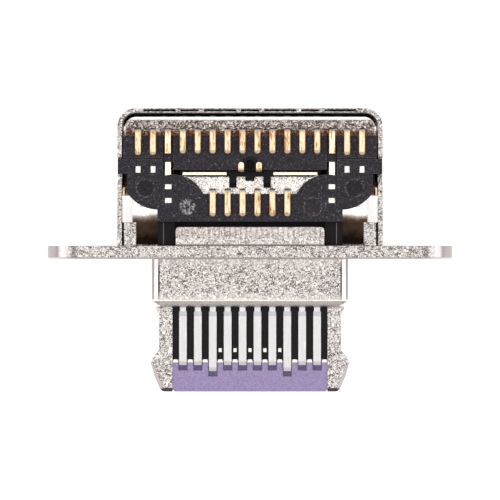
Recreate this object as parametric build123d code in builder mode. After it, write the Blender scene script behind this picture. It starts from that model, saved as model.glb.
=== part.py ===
from build123d import *
import os

# Charging port connector: the receptacle half of a small reversible plug, for a tablet or phone.
# It lies on its cover face with the solder tails up. +Z is up and the tongue points along -Y.
# The origin is on the tongue's axis, in the front face of the screw flange. Millimetres.

# Contact grid
contact_pitch = 0.5
contacts_per_side = 10
contact_width = 0.255
contact_thickness = 0.12
contact_tip_y = -3.55
contact_tip_length = 0.12
contact_tip_drop = 0.04
contact_neck_reach = 0.14
long_contact_extra = 0.2
long_contacts = (3, 8)

# Solder tails
tail_width = 0.2
tail_top_z = 1.1
tail_bend = 0.11
tail_chamfer = 0.05
tail_nib_length = 0.11
tail_nib_drop = 0.05
tail_overhang = 0.24
front_tail_overhang = 0.18
front_tail_tip_y = 1.43
rear_tail_tip_y = 3.53
corner_tail_tip_y = 3.48

# Tongue
tongue_thickness = 0.7
insulator_recess = 0.02
insulator_margin = 0.1
insulator_front_y = -3.37
nose_rear_y = -3.48
nose_front_y = -4.45
nose_bevel = 0.07
tip_notch_width = 0.31
tip_notch_length = 0.19
tip_notch_floor = 0.13
plate_window_width = 0.12
plate_window_length = 0.14
plate_window_y = -3.06
plate_window_count = 5

# Steel ears at the tongue's sides, as widths beyond the insulator and stations along Y
ear_root_width = 0.58
ear_neck_width = 0.45
ear_shoulder_width = 0.65
ear_widest_width = 0.73
ear_taper_width = 0.6
ear_tip_width = 0.38
ear_neck_start_y = -1.85
ear_neck_end_y = -3.05
ear_shoulder_y = -3.3
ear_widest_y = -3.5
ear_taper_y = -3.95
ear_end_y = -4.45
ear_end_radius = 0.18
ear_end_bevel = 0.12

# Mid plate
plate_thickness = 0.16
plate_front_y = -4.1
plate_rear_inset = 0.3
plate_rear_y = 2.91
rib_tooth_z = 0.3
rib_tooth_length = 0.16
rib_tooth_taper = 0.05
window_pad_z = 0.28
plate_rail_width = 0.3
plate_tab_inner_x = 0.78
plate_tab_outer_x = 2.26
plate_tab_thickness = 0.1
plate_tab_top_z = 0.62
ground_leg_z = 0.56
ground_leg_step_y = 2.76
ground_leg_step_length = 0.29
centre_leg_x = 0.3
centre_leg_riser_y = 2.95
centre_leg_tip_y = 3.24

# Flange with its collar
screw_spacing = 11.3
screw_hole_radius = 0.69
screw_edge_distance = 1.15
flange_thickness = 0.44
flange_edge = 0.05
ear_height = 2.2
ear_cover_radius = 0.5
ear_pin_radius = 1.05
middle_side_inset = 0.4
middle_cover_z = -1.35
middle_corner = 0.2
collar_wall = 0.38
collar_thickness = 1.3
collar_reach = 1.62
collar_round = 0.26
collar_corner = 0.25
throat_height = 0.84

# Posts and pad behind the flange
post_width = 0.41
post_gap = 0.07
post_rear_y = 1.23
post_low_z = 0.3
post_foot_z = 0.75
ledge_rear_y = 0.58
ledge_cover_z = -0.95
ledge_pin_z = -0.85
pad_width = 4.98
pad_rear_y = 1.07
pad_top_z = 0.92
pad_fillet = 0.08
pad_corner = 0.12

# Cover can
can_side_margin = 0.69
can_rear_y = 5.05
can_face_z = -1.1
can_rim_z = 1.0
can_wall = 0.15
can_corner = 0.6
can_edge = 0.28
tab_bend_y = 1.8
tab_corner_y = 1.5
tab_bend_radius = 2
tab_front_y = 0.5
tab_rise = 0.3
tab_side_inset = 0.48
side_slot_rear_y = 2.13
side_slit_width = 0.12
side_slit_top_z = 0.2
window_front_y = 2.53
window_rear_y = 3.4
window_sill_z = 0.25
rim_dash_lengths = (1.07, 0.61, 1.07, 0.61, 1.07, 0.61, 1.07)
rim_dash_gap = 0.17
rim_dash_width = 0.07
rim_dash_depth = 0.4

# Black housings
housing_top_z = 0.98
housing_floor_gap = 0.05
housing_clearance = 0.03
lobe_base_z = -0.3
front_bar_front_y = 1.26
front_bar_rear_y = 2.18
column_inner_x = 2.52
column_outer_x = 3.1
column_top_z = 0.7
inner_lobe_x = 2.58
inner_lobe_y = 1.71
inner_lobe_radius = 1.12
outer_lobe_x = 3.07
outer_lobe_y = 2.89
outer_lobe_radius = 1.24
outer_lobe_gap = 0.19
corner_block_inner_x = 2.91
corner_block_gap = 0.05
housing_rear_y = 4.14
groove_y = 3.36
groove_width = 0.05
groove_depth = 0.06
step_block_inset = 0.01
step_block_front_y = 2.85
rear_bar_width = 5.12
rear_bar_front_y = 2.99
bridge_front_y = 3.25
bridge_top_z = 0.9
shelf_front_y = 2.76
shelf_top_z = 0.68
shelf_slot_clearance = 0.01
rib_inner_x = 0.45
rib_outer_x = 0.7
rib_front_y = 2.54
rib_foot_y = 2.39
centre_tab_width = 0.3
centre_tab_front_y = 2.62
boss_y = 3.16
boss_radius = 0.27
boss_height = 0.04
boss_hole_radius = 0.16
boss_hole_depth = 0.14

# Leads of the outer contacts, which step up and turn round the lobes, and the small windows over them
long_lead_turn_y = 1.96
short_lead_turn_y = 2.42
lead_step_y = 1.3
lead_step_length = 0.25
lead_top_z = 0.76
lead_corner = 0.2
lead_window_long = 0.22
lead_window_short = 0.165
lead_window_rear_y = 3.0
lead_window_x = 2.74

# Springs that ground the can
spring_thickness = 0.07
spring_low_z = 0.15
spring_high_z = 0.67
spring_front_y = 2.14
spring_clearance = 0.02

# Worked out from the sizes above
insulator_width = contacts_per_side * contact_pitch + 2 * insulator_margin
insulator_edge = insulator_width / 2
ground_leg_x = (contacts_per_side + 1) * contact_pitch / 2
short_lead_tail_x = ground_leg_x + contact_pitch
long_lead_tail_x = ground_leg_x + 2 * contact_pitch
plate_rail_x = insulator_edge + plate_rail_width
plate_rear_width = insulator_width - 2 * plate_rear_inset
flange_length = screw_spacing + 2 * screw_edge_distance
collar_width = 2 * (plate_rail_x + collar_wall)
tongue_half = tongue_thickness / 2
insulator_half = tongue_half - insulator_recess
plate_half = plate_thickness / 2
contact_half = contact_thickness / 2
contact_line = tongue_half - contact_half
contact_neck_y = -collar_reach - contact_neck_reach
tail_line = tail_top_z - contact_half
lead_line = lead_top_z - contact_half
plate_leg_line = contact_half - plate_half
ground_leg_line = ground_leg_z - contact_half
rear_riser_y = housing_rear_y + tail_overhang - contact_half
front_riser_y = front_bar_rear_y + front_tail_overhang - contact_half
throat_half = throat_height / 2
housing_base_z = can_face_z + can_wall + housing_floor_gap
can_half = long_lead_tail_x + can_side_margin
can_width = 2 * can_half
can_inner_x = can_half - can_wall
post_outer_x = can_inner_x - post_gap
post_inner_x = post_outer_x - post_width
tab_width = can_width - 2 * tab_side_inset
middle_width = can_width - 2 * middle_side_inset
outer_lobe_flat_x = can_inner_x - outer_lobe_gap
corner_block_outer_x = can_inner_x - corner_block_gap
step_block_outer_x = can_half - step_block_inset
plate_tab_rear_y = plate_rear_y
plate_tab_front_y = plate_rear_y - plate_tab_thickness
plate_tab_middle_x = (plate_tab_inner_x + plate_tab_outer_x) / 2


def contact_x(number):
    """Centre of a tongue contact, counted from 1 at the left."""
    return (number - (contacts_per_side + 1) / 2) * contact_pitch


def section_at(y):
    """Plane across the tongue at y, with X to the right and Z up. Extrusions run forward, to -Y."""
    return Plane.XZ.offset(-y)


def side_plane(x):
    """Plane along the tongue at x, with Y to the right and Z up. Extrusions run to +X."""
    return Plane.YZ.offset(x)


def tip_of(number):
    """Front end of a tongue contact."""
    return contact_tip_y - (long_contact_extra if number in long_contacts else 0)


def strip_section(x, width, bends, *points):
    """Side view of a bent strip of contact stock centred on x, from its middle line and bend radii."""
    with BuildSketch(side_plane(x - width / 2), mode=Mode.PRIVATE) as section:
        with BuildLine():
            FilletPolyline(*points, radius=bends)
        trace(line_width=contact_thickness)
    return section.sketch


def tongue_section(x, tip_y, side):
    """Side view of a contact's wider stretch on the tongue, with its sunk tip."""
    with BuildSketch(side_plane(x - contact_width / 2), mode=Mode.PRIVATE) as section:
        with BuildLine():
            Polyline(
                (tip_y, side * (contact_line - contact_tip_drop)),
                (tip_y + contact_tip_length, side * contact_line),
                (contact_neck_y, side * contact_line),
            )
        trace(line_width=contact_thickness)
    return section.sketch


def shape_tail(contact):
    """Take the corners off the free end of a contact's tail, and coin its top down to a nib."""
    tail_end = contact.faces().filter_by(Axis.Y).filter_by_position(
        Axis.Z, tail_line - contact_half, tail_top_z
    ).sort_by(Axis.Y)[0]
    chamfer(tail_end.edges().filter_by(Axis.Z), length=tail_chamfer)
    tail_end = contact.faces().filter_by(Axis.Y).filter_by_position(
        Axis.Z, tail_line - contact_half, tail_top_z
    ).sort_by(Axis.Y)[0]
    top_edge = tail_end.edges().filter_by(Axis.X).sort_by(Axis.Z)[-1]
    chamfer(top_edge, length=tail_nib_drop, length2=tail_nib_length, reference=tail_end)


def straight_contact(x, tip_y, side, riser_y, tail_tip_y):
    """One stamped contact that runs straight back and folds up and forward into its tail."""
    with BuildPart() as contact:
        extrude(tongue_section(x, tip_y, side), amount=contact_width)
        run = strip_section(
            x,
            tail_width,
            (0, tail_bend),
            (contact_neck_y - contact_half, side * contact_line),
            (riser_y, side * contact_line),
            (riser_y, tail_line),
            (tail_tip_y, tail_line),
        )
        extrude(run, amount=tail_width)
        shape_tail(contact)
    return contact


def turned_contact(x, tip_y, turn_y, tail_x, tail_tip_y):
    """One stamped contact that steps up and turns out round a lobe before it folds into its tail."""
    outward = 1 if tail_x > x else -1
    with BuildPart() as contact:
        extrude(tongue_section(x, tip_y, 1), amount=contact_width)
        step = strip_section(
            x,
            tail_width,
            (0, 0),
            (contact_neck_y - contact_half, contact_line),
            (lead_step_y, contact_line),
            (lead_step_y + lead_step_length, lead_line),
            (turn_y - lead_corner, lead_line),
        )
        extrude(step, amount=tail_width)
        with BuildSketch(Plane.XY.offset(lead_line - contact_half)):
            with BuildLine():
                Polyline(
                    (x, lead_step_y + lead_step_length),
                    (x, turn_y - lead_corner),
                    (x + outward * lead_corner, turn_y),
                    (tail_x - outward * lead_corner, turn_y),
                    (tail_x, turn_y + lead_corner),
                    (tail_x, groove_y),
                )
            trace(line_width=tail_width)
        extrude(amount=contact_thickness)
        tail = strip_section(
            tail_x,
            tail_width,
            (0, tail_bend),
            (groove_y, lead_line),
            (rear_riser_y, lead_line),
            (rear_riser_y, tail_line),
            (tail_tip_y, tail_line),
        )
        extrude(tail, amount=tail_width)
        shape_tail(contact)
    return contact


def save(piece, name):
    """Label a finished piece and write it as one STEP file."""
    piece.part.label = name
    export_step(piece.part, f"parts/{name}.step")


os.makedirs("parts", exist_ok=True)

# Contacts of the pin side. The outer two on each side turn round the lobes to the corner tails.
upper_contacts = []
for number in range(1, contacts_per_side + 1):
    place = contact_x(number)
    outward = 1 if place > 0 else -1
    if number in (1, contacts_per_side):
        tail_place = outward * long_lead_tail_x
        contact = turned_contact(place, tip_of(number), long_lead_turn_y, tail_place, corner_tail_tip_y)
    elif number in (2, contacts_per_side - 1):
        tail_place = outward * short_lead_tail_x
        contact = turned_contact(place, tip_of(number), short_lead_turn_y, tail_place, corner_tail_tip_y)
    else:
        contact = straight_contact(place, tip_of(number), 1, front_riser_y, front_tail_tip_y)
    upper_contacts.append(contact)

# Contacts of the cover side, which all run straight back to the rear row of tails
lower_contacts = []
for number in range(1, contacts_per_side + 1):
    contact = straight_contact(contact_x(number), tip_of(number), -1, rear_riser_y, rear_tail_tip_y)
    lower_contacts.append(contact)

# Mid plate: thin between the contacts, as thick as the tongue at its two ears, with four ground legs
with BuildPart() as mid_plate:
    with BuildSketch(Plane.XY.offset(-plate_half)):
        with Locations((0, (plate_front_y + flange_thickness) / 2)):
            Rectangle(insulator_width, flange_thickness - plate_front_y)
        with Locations((0, plate_rear_y / 2)):
            Rectangle(plate_rear_width, plate_rear_y)
    extrude(amount=plate_thickness)
    for side in (-1, 1):
        with BuildSketch(Plane.XY.offset(-tongue_half)):
            with BuildLine():
                Polyline(
                    (side * (insulator_edge + ear_root_width), -collar_reach),
                    (side * (insulator_edge + ear_neck_width), ear_neck_start_y),
                    (side * (insulator_edge + ear_neck_width), ear_neck_end_y),
                    (side * (insulator_edge + ear_shoulder_width), ear_shoulder_y),
                    (side * (insulator_edge + ear_widest_width), ear_widest_y),
                    (side * (insulator_edge + ear_taper_width), ear_taper_y),
                    (side * (insulator_edge + ear_tip_width), ear_end_y),
                    (side * insulator_edge, ear_end_y),
                    (side * insulator_edge, flange_thickness),
                    (side * plate_rail_x, flange_thickness),
                    (side * plate_rail_x, -collar_reach),
                    close=True,
                )
            make_face()
        extrude(amount=tongue_thickness)
    ear_ends = mid_plate.edges().filter_by(Axis.Z).filter_by_position(
        Axis.Y, ear_end_y - 0.01, ear_end_y + 0.01
    )
    fillet(ear_ends.group_by(Axis.X)[0] + ear_ends.group_by(Axis.X)[-1], radius=ear_end_radius)
    ear_fronts = mid_plate.faces().filter_by(Axis.Y).group_by(Axis.Y)[0]
    chamfer(ear_fronts.edges().filter_by(Axis.X), length=ear_end_bevel)
    # Rib under the contact tips, with a tooth between each two
    with BuildSketch(Plane.XY.offset(-tip_notch_floor)):
        with Locations((0, (nose_rear_y + insulator_front_y) / 2)):
            Rectangle(insulator_width, insulator_front_y - nose_rear_y)
    extrude(amount=2 * tip_notch_floor)
    with BuildSketch(Plane.XY.offset(-rib_tooth_z)):
        with Locations((0, nose_rear_y)):
            with GridLocations(contact_pitch, 1, contacts_per_side + 1, 1):
                Polygon(
                    (-insulator_margin, 0),
                    (insulator_margin, 0),
                    (insulator_margin - rib_tooth_taper, rib_tooth_length),
                    (rib_tooth_taper - insulator_margin, rib_tooth_length),
                    align=None,
                )
    extrude(amount=2 * rib_tooth_z)
    # Pads that show in the small windows on the tongue
    with BuildSketch(Plane.XY.offset(-window_pad_z)):
        with Locations((0, plate_window_y)):
            with GridLocations(contact_pitch, 1, plate_window_count, 1):
                Rectangle(plate_window_width, plate_window_length)
    extrude(amount=2 * window_pad_z)
    for side in (-1, 1):
        # Upright tab along the plate's rear edge
        with BuildSketch(Plane.XY.offset(-plate_half)):
            with Locations((side * plate_tab_middle_x, (plate_tab_front_y + plate_tab_rear_y) / 2)):
                Rectangle(plate_tab_outer_x - plate_tab_inner_x, plate_tab_thickness)
        extrude(amount=plate_tab_top_z + plate_half)
        # Outer ground leg, which steps up under the lobe into the row of rear tails
        foot_inner_x = plate_rear_width / 2 - tail_width
        foot_outer_x = ground_leg_x + tail_width / 2
        with BuildSketch(Plane.XY.offset(-plate_half)):
            with Locations((side * (foot_inner_x + foot_outer_x) / 2, short_lead_turn_y)):
                Rectangle(foot_outer_x - foot_inner_x, tail_width)
        extrude(amount=contact_thickness)
        outer_leg = strip_section(
            side * ground_leg_x,
            tail_width,
            (0, 0, 0, tail_bend),
            (short_lead_turn_y - tail_width / 2, plate_leg_line),
            (ground_leg_step_y - ground_leg_step_length, plate_leg_line),
            (ground_leg_step_y, ground_leg_line),
            (rear_riser_y, ground_leg_line),
            (rear_riser_y, tail_line),
            (rear_tail_tip_y, tail_line),
        )
        extrude(outer_leg, amount=tail_width)
        # Centre ground leg, which folds back over the rear bar
        centre_leg = strip_section(
            side * centre_leg_x,
            tail_width,
            (0, tail_bend),
            (centre_tab_front_y, plate_leg_line),
            (centre_leg_riser_y, plate_leg_line),
            (centre_leg_riser_y, tail_line),
            (centre_leg_tip_y, tail_line),
        )
        extrude(centre_leg, amount=tail_width)
    centre_tips = mid_plate.edges().filter_by(Axis.Z).filter_by_position(
        Axis.Y, centre_leg_tip_y - 0.001, centre_leg_tip_y + 0.001
    )
    fillet(centre_tips, radius=tail_width * 0.45)

# Pin-side housing: upper half of the tongue's insulator, front bar, lobes and corner blocks
with BuildPart() as pin_side_housing:
    with BuildSketch(Plane.XY.offset(plate_half)):
        with Locations((0, (insulator_front_y - collar_reach) / 2)):
            Rectangle(insulator_width, -collar_reach - insulator_front_y)
    extrude(amount=insulator_half - plate_half)
    with BuildSketch(Plane.XY.offset(plate_half)):
        with Locations((0, (front_bar_front_y - collar_reach) / 2)):
            Rectangle(insulator_width, front_bar_front_y + collar_reach)
    extrude(amount=throat_half - plate_half)
    with BuildSketch(Plane.XY.offset(plate_half)):
        with Locations((0, (front_bar_front_y + front_bar_rear_y) / 2)):
            Rectangle(2 * column_outer_x, front_bar_rear_y - front_bar_front_y)
        with Locations((-inner_lobe_x, inner_lobe_y), (inner_lobe_x, inner_lobe_y)):
            Circle(inner_lobe_radius)
        with Locations((0, front_bar_front_y - inner_lobe_radius / 2)):
            Rectangle(can_width, inner_lobe_radius, mode=Mode.SUBTRACT)
        outer_trim = can_half - column_outer_x
        for side in (-1, 1):
            with Locations((side * (column_outer_x + outer_trim / 2), inner_lobe_y)):
                Rectangle(outer_trim, 2 * inner_lobe_radius, mode=Mode.SUBTRACT)
    extrude(amount=housing_top_z - plate_half)
    for side in (-1, 1):
        with BuildSketch(Plane.XY.offset(plate_half)):
            column_x = side * (column_inner_x + column_outer_x) / 2
            with Locations((column_x, (flange_thickness + front_bar_front_y) / 2)):
                Rectangle(column_outer_x - column_inner_x, front_bar_front_y - flange_thickness)
        extrude(amount=column_top_z - plate_half)
        with BuildSketch(Plane.XY.offset(lobe_base_z)):
            with Locations((side * outer_lobe_x, outer_lobe_y)):
                Circle(outer_lobe_radius)
            flat_trim = outer_lobe_radius
            with Locations((side * (outer_lobe_flat_x + flat_trim / 2), outer_lobe_y)):
                Rectangle(flat_trim, 2 * outer_lobe_radius, mode=Mode.SUBTRACT)
            inner_trim = 2 * outer_lobe_radius
            with Locations((side * (corner_block_inner_x - inner_trim / 2), outer_lobe_y)):
                Rectangle(inner_trim, 2 * outer_lobe_radius, mode=Mode.SUBTRACT)
            corner_x = side * (corner_block_inner_x + corner_block_outer_x) / 2
            with Locations((corner_x, (groove_y + housing_rear_y) / 2)):
                Rectangle(corner_block_outer_x - corner_block_inner_x, housing_rear_y - groove_y)
        extrude(amount=housing_top_z - lobe_base_z)
        with BuildSketch(Plane.XY.offset(window_sill_z)):
            step_x = side * (corner_block_inner_x + step_block_outer_x) / 2
            with Locations((step_x, (step_block_front_y + groove_y) / 2)):
                Rectangle(step_block_outer_x - corner_block_inner_x, groove_y - step_block_front_y)
        extrude(amount=housing_top_z - window_sill_z)
        # Groove between step block and corner block
        with BuildSketch(Plane.XY.offset(housing_top_z - groove_depth)):
            with Locations((step_x, groove_y)):
                Rectangle(step_block_outer_x - corner_block_inner_x, groove_width)
        extrude(amount=groove_depth, mode=Mode.SUBTRACT)
        # Windows over the turned leads
        with BuildSketch(Plane.XY.offset(lead_line)):
            for tail_x in (short_lead_tail_x, long_lead_tail_x):
                with Locations((side * tail_x, lead_window_rear_y)):
                    Rectangle(lead_window_short, lead_window_long)
            for turn_y in (long_lead_turn_y, short_lead_turn_y):
                with Locations((side * lead_window_x, turn_y)):
                    Rectangle(lead_window_long, lead_window_short)
        extrude(amount=housing_top_z - lead_line, mode=Mode.SUBTRACT)
    # Small windows on the tongue, down to the mid plate
    with BuildSketch(Plane.XY.offset(plate_half)):
        with Locations((0, plate_window_y)):
            with GridLocations(contact_pitch, 1, plate_window_count, 1):
                Rectangle(plate_window_width, plate_window_length)
    extrude(amount=tongue_half, mode=Mode.SUBTRACT)
    for contact in upper_contacts:
        add(contact.part, mode=Mode.SUBTRACT)
    add(mid_plate.part, mode=Mode.SUBTRACT)

# Cover-side housing: lower half of the tongue's insulator, base under the mid plate and rear bar
with BuildPart() as cover_side_housing:
    with BuildSketch(Plane.XY.offset(-insulator_half)):
        with Locations((0, (insulator_front_y - collar_reach) / 2)):
            Rectangle(insulator_width, -collar_reach - insulator_front_y)
    extrude(amount=insulator_half - plate_half)
    with BuildSketch(Plane.XY.offset(-throat_half)):
        with Locations((0, (tab_bend_y - collar_reach) / 2)):
            Rectangle(insulator_width, tab_bend_y + collar_reach)
    extrude(amount=throat_half - plate_half)
    with BuildSketch(Plane.XY.offset(housing_base_z)):
        with Locations((0, (tab_bend_y + housing_rear_y) / 2)):
            Rectangle(rear_bar_width, housing_rear_y - tab_bend_y)
    extrude(amount=-housing_base_z - plate_half)
    with BuildSketch(Plane.XY.offset(housing_base_z)):
        with Locations((0, (rear_bar_front_y + housing_rear_y) / 2)):
            Rectangle(rear_bar_width, housing_rear_y - rear_bar_front_y)
    extrude(amount=housing_top_z - housing_base_z)
    # Bridges over the outer ground legs
    bridge_half = corner_block_inner_x - housing_clearance
    with BuildSketch(Plane.XY.offset(-plate_half)):
        with Locations((0, (bridge_front_y + housing_rear_y) / 2)):
            Rectangle(2 * bridge_half, housing_rear_y - bridge_front_y)
    extrude(amount=bridge_top_z + plate_half)
    # Low shelf in front of the bar, with a slot for each upright tab of the mid plate
    with BuildSketch(Plane.XY.offset(plate_half)):
        with Locations((0, (shelf_front_y + rear_bar_front_y) / 2)):
            Rectangle(2 * plate_tab_outer_x + 2 * plate_tab_thickness, rear_bar_front_y - shelf_front_y)
        with Locations((-inner_lobe_x, inner_lobe_y), (inner_lobe_x, inner_lobe_y)):
            Circle(inner_lobe_radius + housing_clearance, mode=Mode.SUBTRACT)
        with Locations((0, (centre_tab_front_y + shelf_front_y) / 2)):
            Rectangle(centre_tab_width, shelf_front_y - centre_tab_front_y)
    extrude(amount=shelf_top_z - plate_half)
    for side in (-1, 1):
        with BuildSketch(Plane.XY.offset(plate_half)):
            with Locations((side * (rib_inner_x + rib_outer_x) / 2, (rib_front_y + shelf_front_y) / 2)):
                Rectangle(rib_outer_x - rib_inner_x, shelf_front_y - rib_front_y)
        extrude(amount=shelf_top_z - plate_half)
        with BuildSketch(Plane.XY.offset(plate_half)):
            with Locations((side * (rib_inner_x + rib_outer_x) / 2, (rib_foot_y + rib_front_y) / 2)):
                Rectangle(rib_outer_x - rib_inner_x, rib_front_y - rib_foot_y)
        extrude(amount=(shelf_top_z - plate_half) / 2)
        with BuildSketch(Plane.XY.offset(-plate_half)):
            with Locations((side * plate_tab_middle_x, (plate_tab_front_y + plate_tab_rear_y) / 2)):
                Rectangle(
                    plate_tab_outer_x - plate_tab_inner_x + 2 * shelf_slot_clearance,
                    plate_tab_thickness + 2 * shelf_slot_clearance,
                )
        extrude(amount=shelf_top_z + plate_half, mode=Mode.SUBTRACT)
    # Round boss with its blind hole
    with BuildSketch(Plane.XY.offset(housing_top_z)):
        with Locations((0, boss_y)):
            Circle(boss_radius)
        for side in (-1, 1):
            with Locations((side * centre_leg_x, boss_y)):
                Rectangle(tail_width + 2 * shelf_slot_clearance, 2 * boss_radius, mode=Mode.SUBTRACT)
        with Locations((0, rear_bar_front_y - boss_radius / 2)):
            Rectangle(2 * boss_radius, boss_radius, mode=Mode.SUBTRACT)
    extrude(amount=boss_height)
    with BuildSketch(Plane.XY.offset(housing_top_z - boss_hole_depth)):
        with Locations((0, boss_y)):
            Circle(boss_hole_radius)
    extrude(amount=boss_hole_depth + boss_height, mode=Mode.SUBTRACT)
    # Small windows on the tongue, down to the mid plate
    with BuildSketch(Plane.XY.offset(-tongue_half)):
        with Locations((0, plate_window_y)):
            with GridLocations(contact_pitch, 1, plate_window_count, 1):
                Rectangle(plate_window_width, plate_window_length)
    extrude(amount=tongue_half - plate_half, mode=Mode.SUBTRACT)
    for contact in lower_contacts:
        add(contact.part, mode=Mode.SUBTRACT)
    add(mid_plate.part, mode=Mode.SUBTRACT)

# Nose cap: the coloured second moulding over the tip of the mid plate, with a notch at each contact
with BuildPart() as nose_cap:
    with BuildSketch(Plane.XY.offset(-insulator_half)):
        with Locations((0, (nose_front_y + nose_rear_y) / 2)):
            Rectangle(insulator_width, nose_rear_y - nose_front_y)
    extrude(amount=2 * insulator_half)
    chamfer(nose_cap.faces().sort_by(Axis.Y)[0].edges(), length=nose_bevel)
    for side in (-1, 1):
        with BuildSketch(Plane.XY.offset(side * tip_notch_floor)):
            for number in range(1, contacts_per_side + 1):
                notch_front_y = tip_of(number) - tip_notch_length
                with Locations((contact_x(number), (notch_front_y + nose_rear_y) / 2)):
                    Rectangle(tip_notch_width, nose_rear_y - notch_front_y)
        extrude(amount=side * (tongue_half - tip_notch_floor), mode=Mode.SUBTRACT)
    add(mid_plate.part, mode=Mode.SUBTRACT)

# Front frame: screw flange, collar, two posts and the raised pad, in one piece
with BuildPart() as front_frame:
    with BuildSketch(section_at(flange_thickness)):
        Rectangle(flange_length, ear_height)
        fillet(vertices().group_by(Axis.Y)[0], radius=ear_cover_radius)
        fillet(vertices().group_by(Axis.Y)[-1], radius=ear_pin_radius)
        with BuildSketch(mode=Mode.ADD):
            with Locations((0, middle_cover_z / 2)):
                Rectangle(middle_width, -middle_cover_z)
            fillet(vertices().group_by(Axis.Y)[0], radius=middle_corner)
    extrude(amount=flange_thickness)
    chamfer(front_frame.faces().sort_by(Axis.Y)[0].edges(), length=flange_edge)
    with BuildSketch(section_at(0)):
        Rectangle(collar_width, collar_thickness)
        fillet(vertices(), radius=collar_corner)
    extrude(amount=collar_reach)
    fillet(front_frame.faces().sort_by(Axis.Y)[0].edges(), radius=collar_round)
    with Locations((-screw_spacing / 2, 0, 0), (screw_spacing / 2, 0, 0)):
        Cylinder(screw_hole_radius, 3 * flange_thickness, rotation=(90, 0, 0), mode=Mode.SUBTRACT)
    with BuildSketch(Plane.XY.offset(throat_half)):
        with Locations((0, (flange_thickness + pad_rear_y) / 2)):
            Rectangle(pad_width, pad_rear_y - flange_thickness)
        fillet(vertices().group_by(Axis.Y)[-1], radius=pad_corner)
    extrude(amount=pad_top_z - throat_half)
    # Fillet between the pad and the flange
    with BuildSketch(side_plane(-pad_width / 2)):
        with BuildLine():
            Polyline(
                (flange_thickness, pad_top_z + pad_fillet),
                (flange_thickness, pad_top_z),
                (flange_thickness + pad_fillet, pad_top_z),
            )
            CenterArc((flange_thickness + pad_fillet, pad_top_z + pad_fillet), pad_fillet, 180, 90)
        make_face()
    extrude(amount=pad_width)
    # Ledge on the cover side of the tab's front end
    with BuildSketch(section_at(ledge_rear_y)):
        with Locations((0, (ledge_cover_z + ledge_pin_z) / 2)):
            Rectangle(tab_width, ledge_pin_z - ledge_cover_z)
    extrude(amount=ledge_rear_y - flange_thickness)
    post_middle_x = (post_inner_x + post_outer_x) / 2
    with BuildSketch(Plane.XY.offset(post_low_z)):
        with Locations((0, (flange_thickness + post_rear_y) / 2)):
            with GridLocations(2 * post_middle_x, 1, 2, 1):
                Rectangle(post_width, post_rear_y - flange_thickness)
    extrude(amount=can_rim_z - post_low_z)
    # Foot of each post, which closes the gap to the can
    gap_middle_x = (post_outer_x + can_inner_x) / 2
    with BuildSketch(Plane.XY.offset(post_low_z)):
        with Locations((0, (flange_thickness + post_rear_y) / 2)):
            with GridLocations(2 * gap_middle_x, 1, 2, 1):
                Rectangle(post_gap, post_rear_y - flange_thickness)
    extrude(amount=post_foot_z - post_low_z)
    with BuildSketch(section_at(flange_thickness)):
        Rectangle(2 * plate_rail_x, throat_height)
    extrude(amount=flange_thickness + collar_reach, mode=Mode.SUBTRACT)

# Hollow inside the cover can, made first so that its floor edge has its own radius
with BuildPart() as can_hollow:
    with BuildSketch(Plane.XY.offset(can_face_z + can_wall)):
        with Locations((0, (can_rear_y - can_wall) / 2)):
            Rectangle(can_width - 2 * can_wall, can_rear_y - can_wall)
        fillet(vertices().group_by(Axis.Y)[-1], radius=can_corner - can_wall)
    extrude(amount=can_rim_z - can_face_z)
    hollow_floor = can_hollow.faces().sort_by(Axis.Z)[0]
    fillet(hollow_floor.edges() - hollow_floor.edges().group_by(Axis.Y)[0], radius=can_edge - can_wall)

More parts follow.
